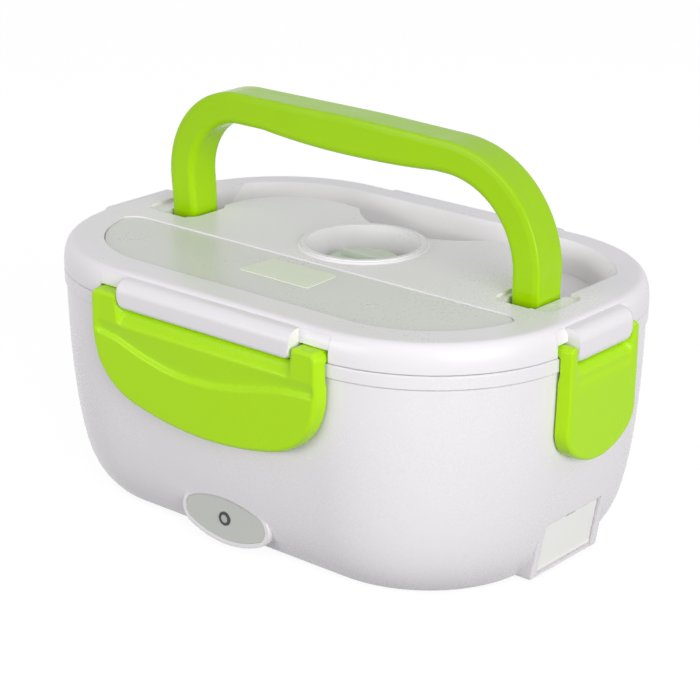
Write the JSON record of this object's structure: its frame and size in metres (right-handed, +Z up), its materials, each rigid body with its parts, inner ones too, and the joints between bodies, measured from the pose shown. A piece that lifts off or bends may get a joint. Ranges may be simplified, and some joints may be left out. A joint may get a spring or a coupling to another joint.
{
  "type": "electric lunch box",
  "caption": "Heated lunch box: tapered base with steel tray, lift-off lid with latches, folding handle, vent, spoon compartment and a power inlet with a flap.",
  "frame": {"origin": "middle of the footprint, on the table under the feet", "axes": "+X towards the end with the power inlet, -Y towards the side with the indicator, +Z up"},
  "size_m": [0.238, 0.1676, 0.1542],
  "materials": {
    "outer_shell": "semi-gloss moulded",
    "bottom_cover": "fine matte",
    "feet": "matte",
    "cover_screws": "plated",
    "inner_well": "satin",
    "heating_plate": "brushed",
    "heater": "dull",
    "thermal_cutout": "matte",
    "wires": "satin",
    "inlet_socket": "satin",
    "inlet_pins": "polished",
    "inlet_flap": "satin silicone",
    "lamp_panel": "satin",
    "lamp_lens": "translucent",
    "lamp_board": "matte",
    "food_tray": "brushed",
    "side_dish": "translucent",
    "dish_lid": "semi-gloss",
    "lid_shell": "semi-gloss moulded",
    "lid_liner": "satin",
    "lid_seal": "satin silicone",
    "vent_seat": "satin silicone",
    "vent_plug": "satin silicone",
    "spoon": "polished",
    "spoon_cover": "frosted",
    "handle": "semi-gloss moulded",
    "handle_pins": "plain",
    "latch_front": "semi-gloss moulded",
    "latch_back": "semi-gloss moulded",
    "latch_left": "semi-gloss moulded",
    "latch_right": "semi-gloss moulded"
  },
  "bodies": {
    "base": {"outer_shell": "outer_shell", "bottom_cover": "bottom_cover", "feet": "feet", "cover_screws": "cover_screws", "inner_well": "inner_well", "heating_plate": "heating_plate", "heater": "heater", "thermal_cutout": "thermal_cutout", "wires": "wires", "inlet_socket": "inlet_socket", "inlet_pins": "inlet_pins", "lamp_panel": "lamp_panel", "lamp_lens": "lamp_lens", "lamp_board": "lamp_board"},
    "inlet_flap": {"inlet_flap": "inlet_flap"},
    "tray": {"food_tray": "food_tray"},
    "dish": {"side_dish": "side_dish"},
    "dish_cover": {"dish_lid": "dish_lid"},
    "lid": {"lid_shell": "lid_shell", "lid_liner": "lid_liner", "lid_seal": "lid_seal", "vent_seat": "vent_seat"},
    "vent_plug": {"vent_plug": "vent_plug"},
    "spoon": {"spoon": "spoon"},
    "spoon_cover": {"spoon_cover": "spoon_cover"},
    "handle": {"handle": "handle", "handle_pins": "handle_pins"},
    "latch_front": {"latch_front": "latch_front"},
    "latch_back": {"latch_back": "latch_back"},
    "latch_left": {"latch_left": "latch_left"},
    "latch_right": {"latch_right": "latch_right"}
  },
  "joints": [
    {"name": "lid_lift", "type": "slide", "parent": "base", "child": "lid", "axis": [0, 0, 1], "range_m": [0, 0.18]},
    {"name": "tray_lift", "type": "slide", "parent": "base", "child": "tray", "axis": [0, 0, 1], "range_m": [0, 0.08]},
    {"name": "dish_lift", "type": "slide", "parent": "base", "child": "dish", "axis": [0, 0, 1], "range_m": [0, 0.13]},
    {"name": "dish_lid_lift", "type": "slide", "parent": "base", "child": "dish_cover", "axis": [0, 0, 1], "range_m": [0, 0.15]},
    {"name": "handle_fold", "type": "hinge", "parent": "lid", "child": "handle", "pos_m": [0, 0.0031, 0.097], "axis": [-1, 0, 0], "range_deg": [0, 90]},
    {"name": "latch_front_open", "type": "hinge", "parent": "lid", "child": "latch_front", "pos_m": [0, -0.0792, 0.0952], "axis": [-1, 0, 0], "range_deg": [0, 110]},
    {"name": "latch_back_open", "type": "hinge", "parent": "lid", "child": "latch_back", "pos_m": [0, 0.0792, 0.0952], "axis": [1, 0, 0], "range_deg": [0, 110]},
    {"name": "latch_right_open", "type": "hinge", "parent": "lid", "child": "latch_right", "pos_m": [0.1144, 0, 0.0952], "axis": [0, -1, 0], "range_deg": [0, 110]},
    {"name": "latch_left_open", "type": "hinge", "parent": "lid", "child": "latch_left", "pos_m": [-0.1144, 0, 0.0952], "axis": [0, 1, 0], "range_deg": [0, 110]},
    {"name": "vent_plug_lift", "type": "slide", "parent": "lid", "child": "vent_plug", "axis": [0, 0, 1], "range_m": [0, 0.008]},
    {"name": "spoon_cover_lift", "type": "slide", "parent": "lid", "child": "spoon_cover", "axis": [0, 0, 1], "range_m": [0, 0.06]},
    {"name": "spoon_lift", "type": "slide", "parent": "lid", "child": "spoon", "axis": [0, 0, 1], "range_m": [0, 0.03]},
    {"name": "flap_open", "type": "hinge", "parent": "base", "child": "inlet_flap", "pos_m": [0.1028, 0, 0.0037], "axis": [0, 1, 0], "range_deg": [0, 80]}
  ],
  "couplings": [
    {"joint": "tray_lift", "follows": "lid_lift", "ratio": 0.44},
    {"joint": "dish_lift", "follows": "lid_lift", "ratio": 0.7},
    {"joint": "dish_lid_lift", "follows": "lid_lift", "ratio": 0.8},
    {"joint": "spoon_lift", "follows": "spoon_cover_lift", "ratio": 0.5}
  ]
}
